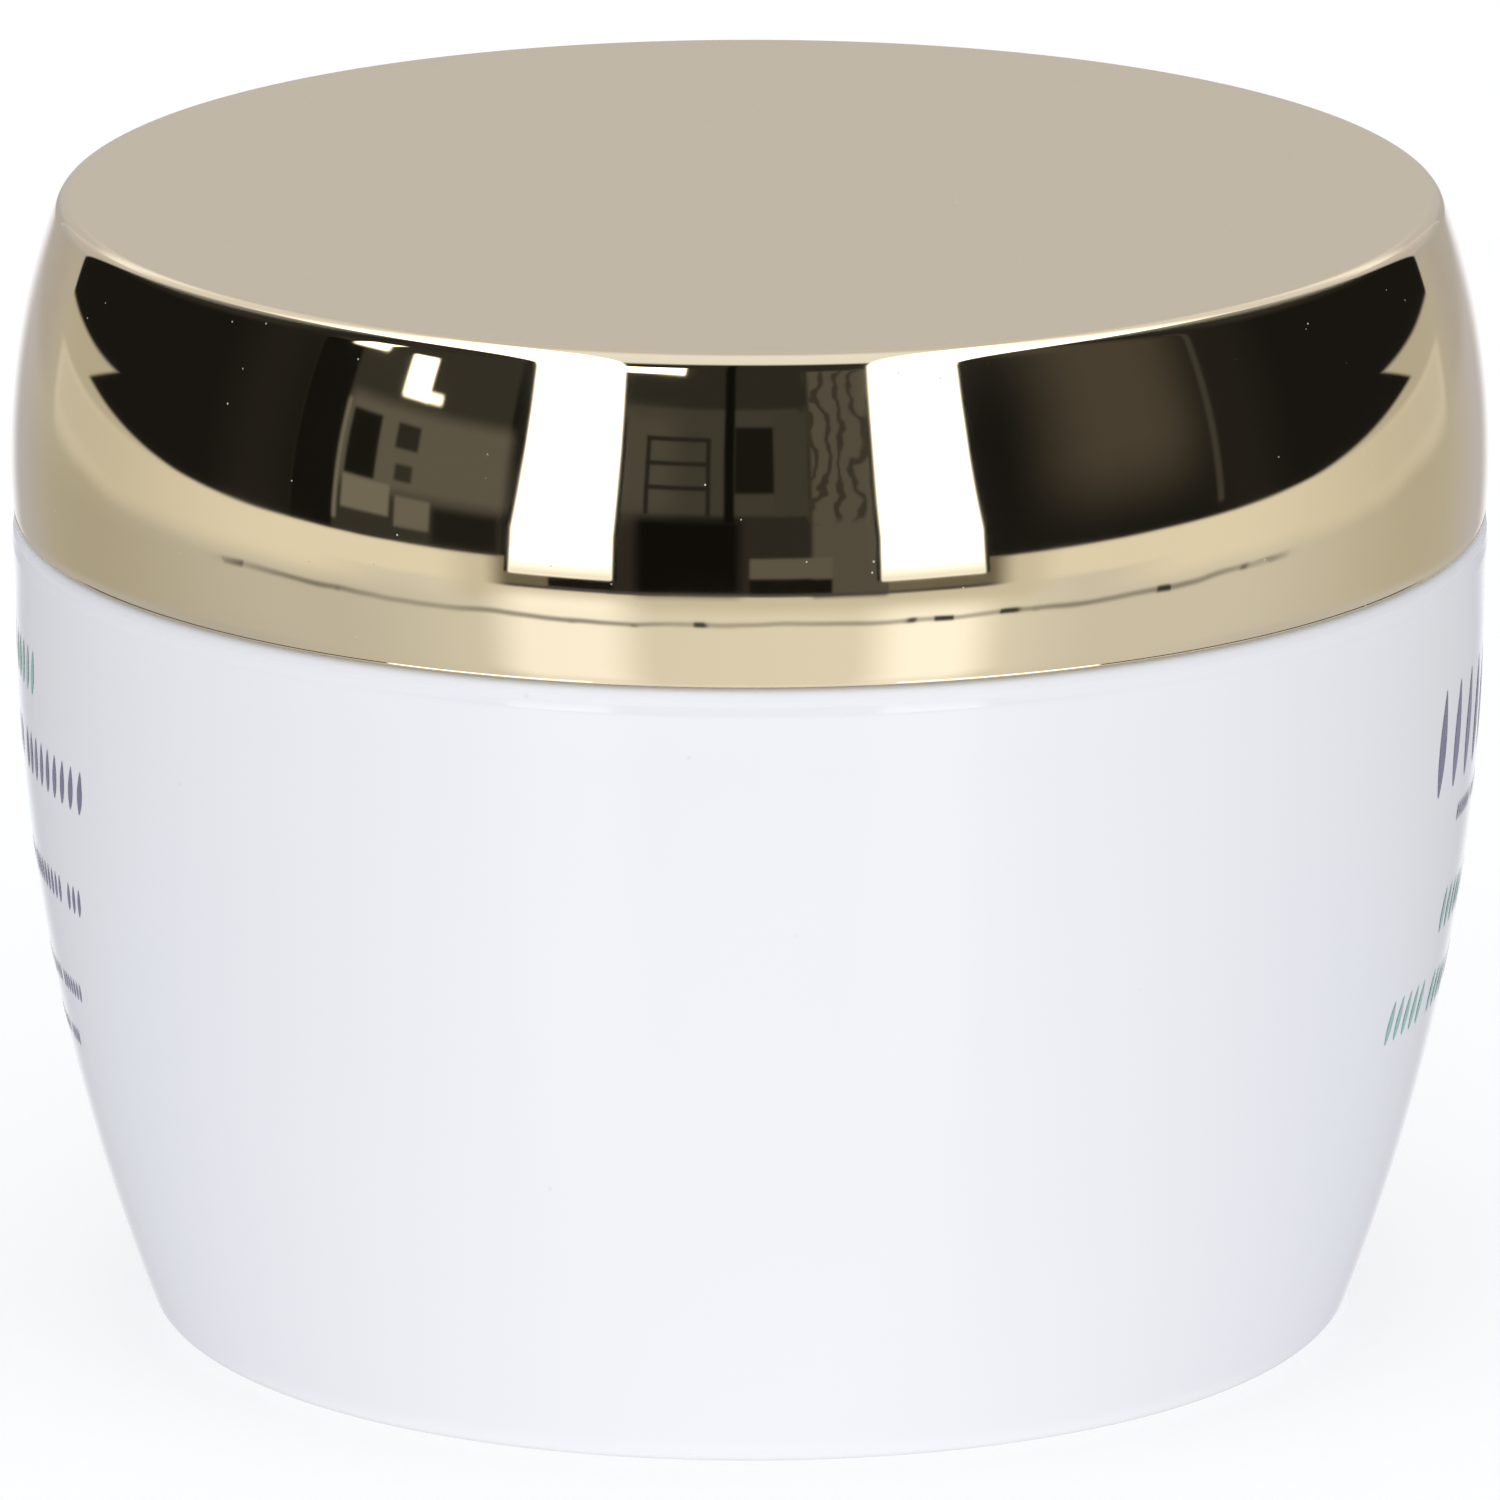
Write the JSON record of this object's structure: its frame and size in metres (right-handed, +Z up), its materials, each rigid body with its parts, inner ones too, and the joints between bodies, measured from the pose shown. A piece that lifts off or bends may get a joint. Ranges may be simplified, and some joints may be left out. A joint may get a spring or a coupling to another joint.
{
  "type": "cosmetic cream jar",
  "caption": "Round double-walled cosmetic cream jar, white barrel-shaped body with a cup inside, sealing disc, and a flat-topped gold metallised screw lid.",
  "frame": {"origin": "centre of the foot, on the plane the jar stands on", "axes": "+Z up along the jar's axis; the jar is round, and -Y is taken as its front, halfway between the two printed panels"},
  "size_m": [0.07, 0.07, 0.0546],
  "materials": {
    "white_gloss": "high gloss",
    "white_satin": "satin",
    "gold_metallised": "metallised ABS under clear lacquer: mirror, pale champagne gold",
    "liner_foam": "fine closed-cell foam"
  },
  "bodies": {
    "jar": {"outer_jar": "white_gloss", "inner_cup": "white_satin"},
    "disc": {"sealing_disc": "white_satin"},
    "liner": {"lid_liner": "liner_foam"},
    "lid": {"lid_insert": "white_satin", "lid_shell": "gold_metallised"}
  },
  "joints": [
    {"name": "lid_lift", "type": "slide", "parent": "jar", "child": "liner", "axis": [0, 0, 1], "range_m": [0, 0.0321]},
    {"name": "lid_turn", "type": "hinge", "parent": "liner", "child": "lid", "pos_m": [0, 0, 0.0396], "axis": [0, 0, 1], "range_deg": [0, 1440]},
    {"name": "disc_lift", "type": "slide", "parent": "jar", "child": "disc", "axis": [0, 0, 1], "range_m": [0, 0.0121]}
  ],
  "couplings": [
    {"joint": "lid_lift", "follows": "lid_turn", "m_per_rad": 0.0012732},
    {"joint": "disc_lift", "follows": "lid_turn", "m_per_rad": 0.00047746}
  ]
}
